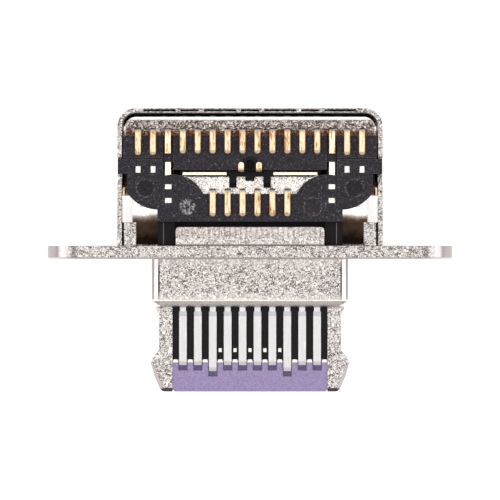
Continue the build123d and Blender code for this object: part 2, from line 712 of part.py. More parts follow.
# Cover can: drawn steel shell, open to the pin side and at the front, with a sloping front tab
with BuildPart() as cover_can:
    with BuildSketch(Plane.XY.offset(can_face_z)):
        with Locations((0, (flange_thickness + can_rear_y) / 2)):
            Rectangle(can_width, can_rear_y - flange_thickness)
        fillet(vertices().group_by(Axis.Y)[-1], radius=can_corner)
    extrude(amount=can_rim_z - can_face_z)
    can_floor = cover_can.faces().sort_by(Axis.Z)[0]
    fillet(can_floor.edges() - can_floor.edges().group_by(Axis.Y)[0], radius=can_edge)
    add(can_hollow.part, mode=Mode.SUBTRACT)
    # The floor and the lower walls end at the tab's bend
    with BuildSketch(Plane.XY.offset(can_face_z)):
        with Locations((0, (flange_thickness + tab_bend_y) / 2)):
            Rectangle(can_width, tab_bend_y - flange_thickness)
        slot_middle_x = (tab_width / 2 + can_half) / 2
        slot_middle_y = (tab_bend_y + side_slot_rear_y) / 2
        with Locations((-slot_middle_x, slot_middle_y), (slot_middle_x, slot_middle_y)):
            Rectangle(can_half - tab_width / 2, side_slot_rear_y - tab_bend_y)
    extrude(amount=can_edge, mode=Mode.SUBTRACT)
    # Sloping front tab
    wall_line_z = can_face_z + can_wall / 2
    with BuildSketch(side_plane(-tab_width / 2)):
        with BuildLine():
            FilletPolyline(
                (side_slot_rear_y, wall_line_z),
                (tab_corner_y, wall_line_z),
                (tab_front_y, wall_line_z + tab_rise),
                radius=tab_bend_radius,
            )
        trace(line_width=can_wall)
    extrude(amount=tab_width)
    # Window for the housing's step block and a slit in each side wall
    window_length = window_rear_y - window_front_y
    window_height = can_rim_z - window_sill_z
    slit_low_z = can_face_z + can_edge
    for side in (-1, 1):
        wall_x = side * (can_half - can_wall / 2)
        with Locations((wall_x, (window_front_y + window_rear_y) / 2, (window_sill_z + can_rim_z) / 2)):
            Box(2 * can_wall, window_length, window_height, mode=Mode.SUBTRACT)
        slit_y = side_slot_rear_y - side_slit_width / 2
        with Locations((wall_x, slit_y, (slit_low_z + side_slit_top_z) / 2)):
            Box(2 * can_wall, side_slit_width, side_slit_top_z - slit_low_z, mode=Mode.SUBTRACT)
    # Row of fine slots in the rear rim
    dash_row = sum(rim_dash_lengths) + rim_dash_gap * (len(rim_dash_lengths) - 1)
    dash_start_x = -dash_row / 2
    dash_y = can_rear_y - can_wall / 2
    for dash_length in rim_dash_lengths:
        with Locations((dash_start_x + dash_length / 2, dash_y, can_rim_z)):
            Box(dash_length, rim_dash_width, 2 * rim_dash_depth, mode=Mode.SUBTRACT)
        dash_start_x += dash_length + rim_dash_gap

# Side springs: gilt leaves between the lobes and the can's side walls
side_springs = {}
for name, side in (("side_spring_left", -1), ("side_spring_right", 1)):
    with BuildPart() as spring:
        leaf_x = side * (can_half - can_wall - spring_clearance - spring_thickness / 2)
        root_x = side * (outer_lobe_flat_x + spring_thickness / 2)
        with BuildSketch(Plane.XY.offset(spring_low_z)):
            with BuildLine():
                Polyline(
                    (root_x, step_block_front_y),
                    (root_x, (step_block_front_y + window_front_y) / 2),
                    (leaf_x, (window_front_y + spring_front_y) / 2),
                    (leaf_x, spring_front_y),
                )
            trace(line_width=spring_thickness)
        extrude(amount=spring_high_z - spring_low_z)
    side_springs[name] = spring

save(cover_can, "cover_can")
save(front_frame, "front_frame")
save(mid_plate, "mid_plate")
save(pin_side_housing, "pin_side_housing")
save(cover_side_housing, "cover_side_housing")
save(nose_cap, "nose_cap")
for name, spring in side_springs.items():
    save(spring, name)
for number, contact in enumerate(upper_contacts, start=1):
    save(contact, f"upper_contact_{number:02d}")
for number, contact in enumerate(lower_contacts, start=1):
    save(contact, f"lower_contact_{number:02d}")
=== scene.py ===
"""Looks of the charging port connector: the finish of every piece, the floor, the lights and the camera.

Laid out as a Blender add-on and run as a script. The settings and the stage are in metres. The places that
the materials use are in millimetres: X across the flange, Y from the tongue's tip to the can's rear, Z up.
"""

import math

import bpy
from bpy.props import FloatProperty, FloatVectorProperty, PointerProperty
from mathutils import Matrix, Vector


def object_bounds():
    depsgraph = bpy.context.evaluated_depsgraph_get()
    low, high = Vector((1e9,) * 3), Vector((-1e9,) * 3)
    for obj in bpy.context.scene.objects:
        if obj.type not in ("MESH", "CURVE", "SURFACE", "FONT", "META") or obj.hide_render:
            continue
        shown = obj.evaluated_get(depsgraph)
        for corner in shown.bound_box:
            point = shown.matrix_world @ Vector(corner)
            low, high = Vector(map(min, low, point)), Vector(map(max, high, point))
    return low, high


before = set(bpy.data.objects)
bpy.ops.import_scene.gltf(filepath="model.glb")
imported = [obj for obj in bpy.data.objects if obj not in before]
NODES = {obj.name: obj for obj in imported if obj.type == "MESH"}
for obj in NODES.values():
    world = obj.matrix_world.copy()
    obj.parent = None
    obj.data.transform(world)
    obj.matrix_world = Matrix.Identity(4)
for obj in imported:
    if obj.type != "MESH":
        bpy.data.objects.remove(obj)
CAD_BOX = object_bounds()

bl_info = {
    "name": "Charging port connector",
    "version": (1, 0, 0),
    "blender": (4, 5, 0),
    "location": "View3D > Sidebar > Connector",
    "description": "Finishes the pieces of a charging port connector and sets its stage",
    "category": "Object",
}

MM = 0.001
CONTACT_NODES = sorted(name for name in NODES if "_contact_" in name)
SPRING_NODES = sorted(name for name in NODES if name.startswith("side_spring"))
HOUSING_NODES = ("pin_side_housing", "cover_side_housing")

# Whole connector, in millimetres
TIP_Y = CAD_BOX[0].y / MM
FLANGE_END_X = CAD_BOX[1].x / MM
REAR_Y = CAD_BOX[1].y / MM
RIM_Z = CAD_BOX[1].z / MM

# Front frame, in millimetres
FLANGE_ROLL_X = FLANGE_END_X - 0.4  # beyond it the flange's end is rolled and painted duller, painted shade
FLANGE_LINE_X = FLANGE_END_X - 0.9  # painted shade line inside the rolled end
POST_FOOT_X = 4.26  # painted shade in the gap at each post's foot, behind the flange's front face
POST_FOOT_Y = 0.1
POST_FOOT_Z = 0.7
COLLAR_MIDDLE_Y = -0.7
COLLAR_HALF_LENGTH = 0.69
COLLAR_ROLL_X = 3.148  # middle of the painted highlight on the rolled side
COLLAR_FRONT_Y = -1.56  # middle of the painted light band on the collar's front bend
COLLAR_BRIGHT_Y = -1.395  # painted highlight along the front bend
COLLAR_DULL_Y = -1.44  # painted shade line in front of it
COLLAR_DARK_LINE_X = 3.06  # dark line painted along each side of the collar's face
PAD_TOP_Z = 0.92
GROOVES_Y = 0.7  # the pad's grooves run from here to its rear

# Cover can, in millimetres
CAN_LOW_Z = -0.6  # below it are the floor and the tab
CAN_CORNER = Vector((3.96, 4.45, 0.0))  # centre of the rear corners
REAR_WALL_Y = REAR_Y - 0.05  # within the rear wall, near its outer face
RIM_SLOTS_X = 3.6  # the rim's slots end here, before the corners
BROWN_SHADE_Y = 4.33  # rear end of the painted brown shade and reflection on the floor
TAB_REAR_Y = 2.2
TAB_SHADE_Y = 1.3  # behind it the tab carries a painted highlight, in front of it painted brown and then nearly black shade

# Mid plate, contacts and springs, in millimetres
EAR_INNER_X = 2.59
EARS_END_Y = 0.5
PLATE_INSIDE_Y = 1.0  # behind it the plate lies inside the can
PLATE_TOP_Z = 0.2  # what stands above it is coined, apart from the ears
LEGS_Y = 2.0  # the legs stand behind it
LEG_PLATING_Z = 0.7  # a leg is gold above it
CONTACT_SHADE_Y = -1.84  # painted shade band across each contact, where it slopes up out of the collar
LEAD_Z = 0.76  # level of the leads behind the small windows
TAIL_PLATING_Z = 0.8  # a contact is gold above it
SPRING_TIP_Y = 2.36  # a spring is gold in front of it and painted nearly black behind it, painted shade

# Black housings, in millimetres
HOUSING_STEP_Z = 0.9  # faces below it are painted darker, painted shade
OUTER_MARK = Vector((3.5, 2.37, 0.0))  # centres of the ejector marks
LEFT_MARK = Vector((-2.1, 1.75, 0.0))
RIGHT_MARK = Vector((2.1, 1.75, 0.0))
MARK_RADIUS = 0.3
BOSS = Vector((0.0, 3.16, 0.0))
BOSS_RADIUS = 0.285
BLOCK_LINE_X = 2.9  # middle of the pale line painted on each front corner block
BLOCK_LINE_Y = 0.85

# Radii of eased edges and depths of grain, in metres
EDGE_RADIUS = 0.03 * MM
# Bevel radius that finds the edges that carry the polymer's painted highlight
HIGHLIGHT_EDGE_RADIUS = 0.022 * MM
CONTACT_EDGE_RADIUS = 0.05 * MM
GRAIN_DEPTH = 0.012 * MM
STREAK_DEPTH = 0.008 * MM
FLOOR_TOOTH_DEPTH = 0.01 * MM

# Drawing streaks are about 0.01 mm wide, too fine to show, so they are drawn as coarse as they need to show
GOLD_STREAKS_PER_MM = 14.0
CONTACT_STREAKS_PER_MM = 22.0

# Scratches in the ejector marks, ragged edges of the painted shade on the can's floor and tab, and the tooth
# of the opal sheet
SCRATCHES_PER_MM = 11.0
RAGGED_SHADE_PER_MM = 3.5
FLOOR_TOOTH_PER_MM = 3.0

# Stage, in metres
FLOOR_HALF = 1.0
KEY_HEIGHT = 0.4
KEY_WIDTH = 0.1
SIDE_DISTANCE = 0.2
SIDE_HEIGHT = 0.12
SIDE_WIDTH = 0.2


def linear(hex_colour):
    """Turn an sRGB hex colour into linear red, green and blue."""
    channels = (int(hex_colour[start:start + 2], 16) / 255 for start in (1, 3, 5))
    return tuple(c / 12.92 if c <= 0.04045 else ((c + 0.055) / 1.055) ** 2.4 for c in channels)


def add_node(tree, kind, settings=None, inputs=None):
    """Add one shader node, set its properties, and set or link its sockets.

    A node given as an input stands for the first of its outputs that is in use.
    """
    node = tree.nodes.new(kind)
    for key, value in (settings or {}).items():
        setattr(node, key, value)
    for key, value in (inputs or {}).items():
        socket = node.inputs[key]
        if isinstance(value, bpy.types.Node):
            value = next(output for output in value.outputs if output.enabled)
        if isinstance(value, bpy.types.NodeSocket):
            tree.links.new(value, socket)
        elif socket.type == "RGBA":
            socket.default_value = (*value, 1.0)
        else:
            socket.default_value = value
    return node


def start_material(name):
    """New empty node material, its node tree, and its coordinates in millimetres of the frame."""
    material = bpy.data.materials.new(name)
    material.use_nodes = True
    tree = material.node_tree
    tree.nodes.clear()
    place = add_node(tree, "ShaderNodeTexCoord").outputs["Object"]
    in_mm = add_node(tree, "ShaderNodeVectorMath", {"operation": "SCALE"}, {"Vector": place, "Scale": 1 / MM})
    return material, tree, in_mm


def finish_material(tree, shader):
    """Send a shader to the material's surface."""
    add_node(tree, "ShaderNodeOutputMaterial", inputs={"Surface": shader})


def set_finish(names, material):
    """Give CAD nodes their material."""
    for name in names:
        mesh = NODES[name].data
        mesh.materials.clear()
        mesh.materials.append(material)


class FinishSettings(bpy.types.PropertyGroup):
    """Colours and grain sizes of the connector's finishes."""

    steel_light: FloatVectorProperty(
        name="Steel", description="Blasted steel between its furrows",
        default=linear("#DED9D5"), subtype="COLOR", min=0, max=1)
    # Also the dark line painted along each side of the collar's face.
    steel_dark: FloatVectorProperty(
        name="Steel furrows", description="Grey furrows that the beads leave, and the mask's line",
        default=linear("#312B31"), subtype="COLOR", min=0, max=1)
    steel_tan: FloatVectorProperty(
        name="Steel furrows, tan", description="Furrows with a trace of heat tint",
        default=linear("#5E4634"), subtype="COLOR", min=0, max=1)
    # Also painted light: the collar's ends and front bend, and the mid plate inside the can.
    pale_steel_and_painted_light: FloatVectorProperty(
        name="Pale steel", description="Blasted steel of the pad, the collar's front and the mid plate",
        default=linear("#EAE5E0"), subtype="COLOR", min=0, max=1)
    # Painted light: the mid plate's furrows drawn pale inside the can's shade.
    plate_painted_light_furrows: FloatVectorProperty(
        name="Mid plate furrows", description="Pale furrows of the mid plate",
        default=linear("#E4DCD5"), subtype="COLOR", min=0, max=1)
    pad_dark: FloatVectorProperty(
        name="Pad furrows", description="Lighter furrows of the pad",
        default=linear("#978C8A"), subtype="COLOR", min=0, max=1)
    steel_smooth: FloatVectorProperty(
        name="Steel, smooth", description="Faces that were sheared or rolled smooth",
        default=linear("#C6BFBE"), subtype="COLOR", min=0, max=1)
    # Painted shade: rounded edges, the flange's rolled ends, the collar's dull lines, the pad's grooves and
    # the ears' slanted ends.
    steel_painted_shade: FloatVectorProperty(
        name="Steel, dull lines", description="Rubbed edges, rolled ends and grooves",
        default=linear("#544A4E"), subtype="COLOR", min=0, max=1)
    can_light: FloatVectorProperty(
        name="Can floor", description="Blasted steel inside the can",
        default=linear("#E2D8CF"), subtype="COLOR", min=0, max=1)
    can_dark: FloatVectorProperty(
        name="Can floor furrows", description="Furrows inside the can",
        default=linear("#5E4A3E"), subtype="COLOR", min=0, max=1)
    # Painted shade and reflection, brown, on the floor beside the rear block.
    can_floor_painted_shade: FloatVectorProperty(
        name="Can floor, heat tinted", description="Brown floor beside the rear block",
        default=linear("#8C4F2E"), subtype="COLOR", min=0, max=1)
    # Painted highlight on the tab's inner face near its bend.
    tab_painted_highlight: FloatVectorProperty(
        name="Can tab at its bend", description="Rolled face of the tab where it leaves the floor",
        default=linear("#FFFBF6"), subtype="COLOR", min=0, max=1)
    # Painted shade, brown, along the middle of the tab's inner face.
    tab_painted_brown_shade: FloatVectorProperty(
        name="Can tab, heat tinted", description="Brown middle of the tab's inner face",
        default=linear("#B08F76"), subtype="COLOR", min=0, max=1)
    # Painted shade, nearly black, at the tab's front end.
    tab_painted_dark_shade: FloatVectorProperty(
        name="Can tab at its end", description="Dark front end of the tab's inner face",
        default=linear("#3A2C26"), subtype="COLOR", min=0, max=1)
    # Painted highlight on the can's floor band and on the collar's rolled sides.
    band_painted_highlight: FloatVectorProperty(
        name="Rolled bands", description="Bright band round the can's floor and along the collar's sides",
        default=linear("#E6E4E5"), subtype="COLOR", min=0, max=1)
    # Painted shade in the rim's slots, at the posts' feet, on the housings' low steps and on the can's rear
    # wall; also the dark tone of the polished marks and the boss.
    shadow_gap: FloatVectorProperty(
        name="Gaps", description="Darkest tone, in the rim's slots, at the posts' feet and on low steps",
        default=linear("#0E0B0B"), subtype="COLOR", min=0, max=1)
    steel_grain: FloatProperty(
        name="Steel grain", description="Spacing of the blasted furrows", default=0.078 * MM, unit="LENGTH",
        precision=6)
    groove_pitch: FloatProperty(
        name="Pad grooves", description="Pitch of the fine grooves across the pad", default=0.178 * MM,
        unit="LENGTH", precision=6)
    polymer_dark: FloatVectorProperty(
        name="Black polymer", description="Glass-filled polymer between its fibres",
        default=linear("#252227"), subtype="COLOR", min=0, max=1)
    polymer_light: FloatVectorProperty(
        name="Fibre specks", description="Glass fibres near the polymer's surface",
        default=linear("#423E47"), subtype="COLOR", min=0, max=1)
    # Also the painted highlight on edges of faces that look up, and the pale line on each front corner block.
    polymer_scuff_and_painted_highlight: FloatVectorProperty(
        name="Scuffed polymer", description="Bare fibres, worn edges and scratches",
        default=linear("#A9A5A8"), subtype="COLOR", min=0, max=1)
    polymer_grain: FloatProperty(
        name="Polymer grain", description="Size of a fibre speck, coarser than a real fibre",
        default=0.05 * MM, unit="LENGTH", precision=6)
    nose_light: FloatVectorProperty(
        name="Nose", description="Violet polymer of the nose", default=linear("#A496BE"), subtype="COLOR",
        min=0, max=1)
    nose_dark: FloatVectorProperty(
        name="Nose mottle", description="Darker flecks in the violet polymer", default=linear("#8E80A8"),
        subtype="COLOR", min=0, max=1)
    silver: FloatVectorProperty(
        name="Contact plating", description="Pale plating on the tongue", default=linear("#DAD9DA"),
        subtype="COLOR", min=0, max=1)
    # Painted shade where the strip slopes up out of the collar.
    silver_painted_shade: FloatVectorProperty(
        name="Contact plating, dull", description="Plating where the strip was coined",
        default=linear("#C2C0C5"), subtype="COLOR", min=0, max=1)
    # Also the painted highlight along the collar's front bend and on tail bends that look to the rear.
    pale_flash_and_painted_highlight: FloatVectorProperty(
        name="Lead plating", description="Pale flash on leads and coined tabs, and the brightest bend",
        default=linear("#FAF2E6"), subtype="COLOR", min=0, max=1)
    gold: FloatVectorProperty(
        name="Tail plating", description="Gold plating of the solder tails", default=linear("#FBE8C4"),
        subtype="COLOR", min=0, max=1)
    gold_worn: FloatVectorProperty(
        name="Tail plating, streaks", description="Drawing streaks in the gold", default=linear("#B98243"),
        subtype="COLOR", min=0, max=1)
    # Painted shade along the strip's sides.
    gold_painted_shade: FloatVectorProperty(
        name="Tail plating, deep", description="Gold along the strip's sides", default=linear("#AE6226"),
        subtype="COLOR", min=0, max=1)
    # Painted shade behind the spring's gilt tip.
    spring_painted_shade: FloatVectorProperty(
        name="Spring root", description="Bare spring strip behind its gilt tip", default=linear("#1F1A18"),
        subtype="COLOR", min=0, max=1)


class StageSettings(bpy.types.PropertyGroup):
    """Floor, lights and camera."""

    floor_colour: FloatVectorProperty(
        name="Floor", description="Pale opal floor", default=linear("#F7F6F4"), subtype="COLOR", min=0, max=1)
    floor_glow: FloatProperty(
        name="Floor glow", description="Faint light that comes up through the opal", default=0.55)
    camera_distance: FloatProperty(
        name="Camera distance", description="Distance of the camera from the connector's middle",
        default=0.3, unit="LENGTH")
    frame_width: FloatProperty(
        name="Frame width", description="Width of the picture at the connector",
        default=0.0168, unit="LENGTH", precision=5)
    camera_tilt: FloatProperty(
        name="Camera tilt", description="Lean of the camera away from straight down, towards the tongue",
        default=0.0, subtype="ANGLE")
    key_power: FloatProperty(
        name="Key light", description="Power of the overhead light", default=0.025, unit="POWER")
    side_power: FloatProperty(
        name="Side light", description="Power of each side light", default=0.2, unit="POWER")
    low_sky: FloatVectorProperty(
        name="Low surround", description="Studio wall near the floor", default=linear("#A09A9D"),
        subtype="COLOR", min=0, max=1)
    high_sky: FloatVectorProperty(
        name="High surround", description="Soft ceiling over the table", default=linear("#FFFDFB"),
        subtype="COLOR", min=0, max=1)
    sky_strength: FloatProperty(name="Surround", description="Strength of the soft surround", default=0.98)


def facing(tree):
    """X, Y and Z of the direction that a face looks in, before its edges are eased."""
    normal = add_node(tree, "ShaderNodeNewGeometry").outputs["True Normal"]
    return add_node(tree, "ShaderNodeSeparateXYZ", inputs={"Vector": normal}).outputs


def split_place(tree, place):
    """X, Y and Z of a place, and its distance across from the plane that halves the connector."""
    axes = add_node(tree, "ShaderNodeSeparateXYZ", inputs={"Vector": place}).outputs
    across = add_node(tree, "ShaderNodeMath", {"operation": "ABSOLUTE"}, {0: axes["X"]})
    return axes["X"], axes["Y"], axes["Z"], across


def lay_over(tree, colour, top, *masks):
    """Lay the colour top over another one, as far as all the masks multiplied let it show."""
    cover = masks[0]
    for mask in masks[1:]:
        cover = add_node(tree, "ShaderNodeMath", {"operation": "MULTIPLY"}, {0: cover, 1: mask})
    return add_node(tree, "ShaderNodeMix", {"data_type": "RGBA"}, {"Factor": cover, "A": colour, "B": top})


def steel_nodes(tree, place, settings, light, dark):
    """Colour, roughness and bump height of bead-blasted stainless steel.

    Blasting leaves overlapping dents with furrows between them, so the eye sees a bright skin broken by short
    grey and tan lines, and no clear reflection. The rounded edges of its flat faces are painted darker,
    painted shade. Faces that stand up were sheared or rolled smooth and show soft bands of the surround
    instead.
    """
    level = add_node(tree, "ShaderNodeMath", {"operation": "ABSOLUTE"}, {0: facing(tree)["Z"]})
    flat = add_node(tree, "ShaderNodeMapRange", inputs={"Value": level, "From Min": 0.9, "From Max": 0.995})
    grain = 1 / (settings.steel_grain / MM)
    dents = add_node(tree, "ShaderNodeTexNoise", inputs={
        "Vector": place, "Scale": grain, "Detail": 1.5, "Roughness": 0.5, "Distortion": 0.5})
    ridge = add_node(tree, "ShaderNodeMath", {"operation": "SUBTRACT"}, {0: dents, 1: 0.5})
    ridge = add_node(tree, "ShaderNodeMath", {"operation": "ABSOLUTE"}, {0: ridge})
    patches = add_node(tree, "ShaderNodeTexNoise", inputs={
        "Vector": place, "Scale": grain * 0.45, "Detail": 2.0, "Roughness": 0.6})
    reach = add_node(tree, "ShaderNodeMapRange", inputs={
        "Value": patches, "From Min": 0.35, "From Max": 0.65, "To Min": 0.03, "To Max": 0.12})
    tone = add_node(tree, "ShaderNodeMapRange", inputs={
        "Value": ridge, "From Min": 0.005, "From Max": reach})
    tint = add_node(tree, "ShaderNodeTexNoise", inputs={
        "Vector": place, "Scale": grain * 1.3, "Detail": 1.0})
    tan = add_node(tree, "ShaderNodeSeparateXYZ", inputs={"Vector": tint.outputs["Color"]}).outputs["Y"]
    tan = add_node(tree, "ShaderNodeMapRange", inputs={"Value": tan, "From Min": 0.5, "From Max": 0.6})
    furrow = lay_over(tree, dark, settings.steel_tan, tan)
    blasted = lay_over(tree, furrow, light, tone)
    colour = lay_over(tree, settings.steel_smooth, blasted, flat)
    # Painted shade: the rounded edges of flat faces are drawn darker.
    rounded = add_node(tree, "ShaderNodeBevel", {"samples": 4}, {"Radius": EDGE_RADIUS})
    rounded = add_node(tree, "ShaderNodeSeparateXYZ", inputs={"Vector": rounded}).outputs["Z"]
    rounded = add_node(tree, "ShaderNodeMath", {"operation": "ABSOLUTE"}, {0: rounded})
    edge = add_node(tree, "ShaderNodeMapRange", inputs={
        "Value": rounded, "From Min": 0.97, "From Max": 0.8})
    colour = lay_over(tree, colour, settings.steel_painted_shade, edge, flat, 0.45)
    gloss = add_node(tree, "ShaderNodeMapRange", inputs={
        "Value": dents, "From Min": 0.3, "From Max": 0.7, "To Min": 0.24, "To Max": 0.36})
    height = add_node(tree, "ShaderNodeMath", {"operation": "MULTIPLY"}, {0: tone, 1: flat})
    return colour, gloss, height


def steel_shader(tree, colour, gloss, height):
    """Steel surface whose sharp edges are eased and whose dents stand out."""
    edge = add_node(tree, "ShaderNodeBevel", {"samples": 4}, {"Radius": EDGE_RADIUS})
    bump = add_node(tree, "ShaderNodeBump", inputs={
        "Height": height, "Distance": GRAIN_DEPTH, "Strength": 0.6, "Normal": edge})
    return add_node(tree, "ShaderNodeBsdfPrincipled", inputs={
        "Base Color": colour, "Metallic": 1.0, "Roughness": gloss, "Normal": bump})


def frame_steel(settings):
    """Blasted stainless steel of the frame.

    The pad is paler, with fine grooves across its rear half that are darkened with painted shade. The
    flange's ends and the collar's sides and front were rolled smooth; their bright and dull lines are painted
    highlights and painted shade, and the collar is painted paler towards its front and rear ends, painted
    light. A dark line is painted along each side of the collar's face, and painted shade fills the gap at
    each post's foot.
    """
    material, tree, place = start_material("bead_blasted_steel_with_grooves")
    x, y, z, across = split_place(tree, place)
    on_pad = add_node(tree, "ShaderNodeMath", {"operation": "COMPARE"}, {0: z, 1: PAD_TOP_Z, 2: 0.03})
    light = lay_over(tree, settings.steel_light, settings.pale_steel_and_painted_light, on_pad)
    dark = lay_over(tree, settings.steel_dark, settings.pad_dark, on_pad)
    colour, gloss, dents = steel_nodes(tree, place, settings, light, dark)

    # Painted shade: the flange's rolled ends and a line inside them are drawn duller.
    rolled = add_node(tree, "ShaderNodeMapRange", inputs={
        "Value": across, "From Min": FLANGE_ROLL_X - 0.04, "From Max": FLANGE_ROLL_X + 0.04})
    line = add_node(tree, "ShaderNodeMath", {"operation": "COMPARE"}, {
        0: across, 1: FLANGE_LINE_X, 2: 0.07})
    rolled = add_node(tree, "ShaderNodeMath", {"operation": "ADD"}, {0: rolled, 1: line})
    on_edge = add_node(tree, "ShaderNodeMath", {"operation": "COMPARE"}, {
        0: facing(tree)["Y"], 1: 0.0, 2: 0.5})
    colour = lay_over(tree, colour, settings.steel_painted_shade, rolled, on_edge, 0.4)

    # Painted shade in the gap at each post's foot.
    foot = add_node(tree, "ShaderNodeMath", {"operation": "COMPARE"}, {0: z, 1: POST_FOOT_Z, 2: 0.07})
    behind = add_node(tree, "ShaderNodeMath", {"operation": "GREATER_THAN"}, {0: y, 1: POST_FOOT_Y})
    beside = add_node(tree, "ShaderNodeMath", {"operation": "COMPARE"}, {0: across, 1: POST_FOOT_X, 2: 0.06})
    colour = lay_over(tree, colour, settings.shadow_gap, foot, behind, beside)

    on_collar = add_node(tree, "ShaderNodeMath", {"operation": "COMPARE"}, {
        0: y, 1: COLLAR_MIDDLE_Y, 2: COLLAR_HALF_LENGTH})
    # A dark line is painted along each side of the collar's face.
    line = add_node(tree, "ShaderNodeMath", {"operation": "COMPARE"}, {
        0: across, 1: COLLAR_DARK_LINE_X, 2: 0.03})
    colour = lay_over(tree, colour, settings.steel_dark, line, on_collar, 0.9)
    # Painted light: the collar grows paler towards its front and rear ends.
    fade = add_node(tree, "ShaderNodeMath", {"operation": "SUBTRACT"}, {0: y, 1: COLLAR_MIDDLE_Y})
    fade = add_node(tree, "ShaderNodeMath", {"operation": "ABSOLUTE"}, {0: fade})
    fade = add_node(tree, "ShaderNodeMapRange", inputs={
        "Value": fade, "From Min": COLLAR_HALF_LENGTH - 0.29, "From Max": COLLAR_HALF_LENGTH - 0.03})
    colour = lay_over(tree, colour, settings.pale_steel_and_painted_light, fade, on_collar, 0.6)
    # Painted highlight on the collar's rolled sides, and painted shade just beyond them.
    rolled = add_node(tree, "ShaderNodeMath", {"operation": "COMPARE"}, {
        0: across, 1: COLLAR_ROLL_X, 2: 0.068})
    colour = lay_over(tree, colour, settings.band_painted_highlight, rolled, on_collar)
    outer = add_node(tree, "ShaderNodeMapRange", inputs={
        "Value": across, "From Min": COLLAR_ROLL_X + 0.062, "From Max": COLLAR_ROLL_X + 0.092})
    colour = lay_over(tree, colour, settings.steel_painted_shade, outer, on_collar, 0.75)
    # Painted light band, painted highlight and painted shade line across the collar's front bend.
    for middle, half_width, strength, top in (
            (COLLAR_FRONT_Y, 0.105, 1.0, settings.pale_steel_and_painted_light),
            (COLLAR_BRIGHT_Y, 0.03, 1.0, settings.pale_flash_and_painted_highlight),
            (COLLAR_DULL_Y, 0.015, 0.6, settings.steel_painted_shade)):
        line = add_node(tree, "ShaderNodeMath", {"operation": "COMPARE"}, {0: y, 1: middle, 2: half_width})
        colour = lay_over(tree, colour, top, line, strength)

    # The pad's grooves are bumped and also darkened in colour, painted shade.
    turns = add_node(tree, "ShaderNodeMath", {"operation": "MULTIPLY"}, {
        0: x, 1: 2 * math.pi * MM / settings.groove_pitch})
    wave = add_node(tree, "ShaderNodeMath", {"operation": "SINE"}, {0: turns})
    start = add_node(tree, "ShaderNodeMapRange", inputs={
        "Value": y, "From Min": GROOVES_Y - 0.04, "From Max": GROOVES_Y + 0.04, "To Max": 0.6})
    grooves = add_node(tree, "ShaderNodeMath", {"operation": "MULTIPLY"}, {0: wave, 1: start})
    colour = lay_over(tree, colour, settings.steel_painted_shade, grooves, on_pad, 0.5)
    height = add_node(tree, "ShaderNodeMath", {"operation": "ADD"}, {0: dents, 1: grooves})
    finish_material(tree, steel_shader(tree, colour, gloss, height))
    return material


